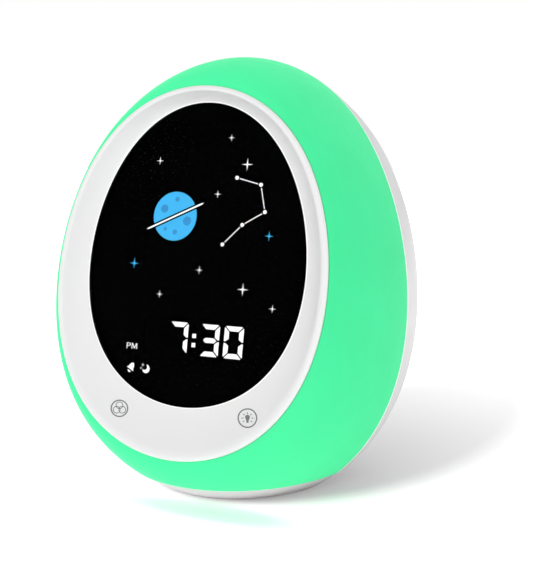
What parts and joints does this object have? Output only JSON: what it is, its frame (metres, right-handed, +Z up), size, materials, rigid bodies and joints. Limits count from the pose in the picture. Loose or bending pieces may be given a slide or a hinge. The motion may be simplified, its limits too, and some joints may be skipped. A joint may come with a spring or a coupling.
{
  "type": "alarm clock",
  "caption": "Egg-shaped child's alarm clock with a glowing night-light shell, a black display that leans back in a white ring, touch keys, rear buttons and a battery door",
  "frame": {"origin": "On the table under the middle of the clock's bounding box", "axes": "+Z up, -Y the way the display faces before its backward lean, +X to the right as the display is read"},
  "size_m": [0.1116, 0.0973, 0.1363],
  "materials": {
    "ring": "satin white ABS",
    "lens": "polished, smoked",
    "tape": "matt adhesive foam tape",
    "film": "printed film",
    "white_inner": "matt",
    "black_inner": "matt moulded",
    "lit_white": "lit resin",
    "led": "resin LED",
    "board": "solder-masked glass-fibre board",
    "spring_steel": "plain",
    "screw": "zinc plated",
    "glow_shell": "frosted translucent, lit from inside",
    "capacitor": "sleeved",
    "ivory": "matt",
    "ribbon": "satin",
    "case": "satin white ABS",
    "foam": "foam",
    "speaker_metal": "black plated",
    "cone": "coated paper",
    "magnet": "plated",
    "lead": "PVC insulation",
    "lead_yellow": "PVC insulation",
    "button": "satin",
    "battery_box": "matt",
    "cell": "gloss sleeve",
    "pad": "matt"
  },
  "bodies": {
    "housing": {"front_bezel": "ring", "display_lens": "lens", "lens_tape": "tape", "picture_film": "film", "light_box": "white_inner", "digit_module": "black_inner", "digit_segments": "lit_white", "picture_leds": "led", "display_board": "board", "touch_springs": "spring_steel", "light_board": "board", "mood_leds": "led", "bezel_screws": "screw", "inner_frame": "white_inner", "diffuser_shell": "glow_shell", "main_board": "board", "main_chip": "black_inner", "sound_chip": "black_inner", "capacitors": "capacitor", "crystal": "spring_steel", "lead_connectors": "ivory", "main_board_screws": "screw", "ribbon_cable": "ribbon", "rear_cover": "case", "case_screws": "screw", "speaker_gasket": "foam", "speaker_frame": "speaker_metal", "speaker_cone": "cone", "speaker_magnet": "magnet", "speaker_screws": "screw", "speaker_leads": "lead", "button_board": "board", "tact_switches": "black_inner", "button_board_screws": "screw", "button_leads": "lead_yellow", "battery_box": "battery_box", "battery_cells": "cell", "battery_springs": "spring_steel", "contact_plates": "spring_steel", "battery_box_screws": "screw", "battery_leads": "lead", "usb_socket": "spring_steel", "power_board": "board", "power_board_screws": "screw", "power_leads": "lead", "base_foot": "case", "foot_pads": "pad", "base_screws": "screw"},
    "mode_button_body": {"mode_button": "button"},
    "set_button_body": {"set_button": "button"},
    "down_button_body": {"down_button": "button"},
    "up_button_body": {"up_button": "button"},
    "alarm_button_body": {"alarm_button": "button"},
    "sound_button_body": {"sound_button": "button"},
    "battery_door_body": {"battery_door": "case"}
  },
  "joints": [
    {"name": "mode_press", "type": "slide", "parent": "housing", "child": "mode_button_body", "axis": [0, -0.9796, 0.2011], "range_m": [0, 0.0007], "stiffness_N_per_m": 300, "springref_m": -0.001},
    {"name": "set_press", "type": "slide", "parent": "housing", "child": "set_button_body", "axis": [0, -0.9796, 0.2011], "range_m": [0, 0.0007], "stiffness_N_per_m": 300, "springref_m": -0.001},
    {"name": "down_press", "type": "slide", "parent": "housing", "child": "down_button_body", "axis": [0, -0.9796, 0.2011], "range_m": [0, 0.0007], "stiffness_N_per_m": 300, "springref_m": -0.001},
    {"name": "up_press", "type": "slide", "parent": "housing", "child": "up_button_body", "axis": [0, -0.9796, 0.2011], "range_m": [0, 0.0007], "stiffness_N_per_m": 300, "springref_m": -0.001},
    {"name": "alarm_press", "type": "slide", "parent": "housing", "child": "alarm_button_body", "axis": [0, -0.9796, 0.2011], "range_m": [0, 0.0007], "stiffness_N_per_m": 300, "springref_m": -0.001},
    {"name": "sound_press", "type": "slide", "parent": "housing", "child": "sound_button_body", "axis": [0, -0.9796, 0.2011], "range_m": [0, 0.0007], "stiffness_N_per_m": 300, "springref_m": -0.001},
    {"name": "door_hinge", "type": "hinge", "parent": "housing", "child": "battery_door_body", "pos_m": [0, 0.02645, 0.0231], "axis": [-1, 0, 0], "range_deg": [0, 80]}
  ]
}
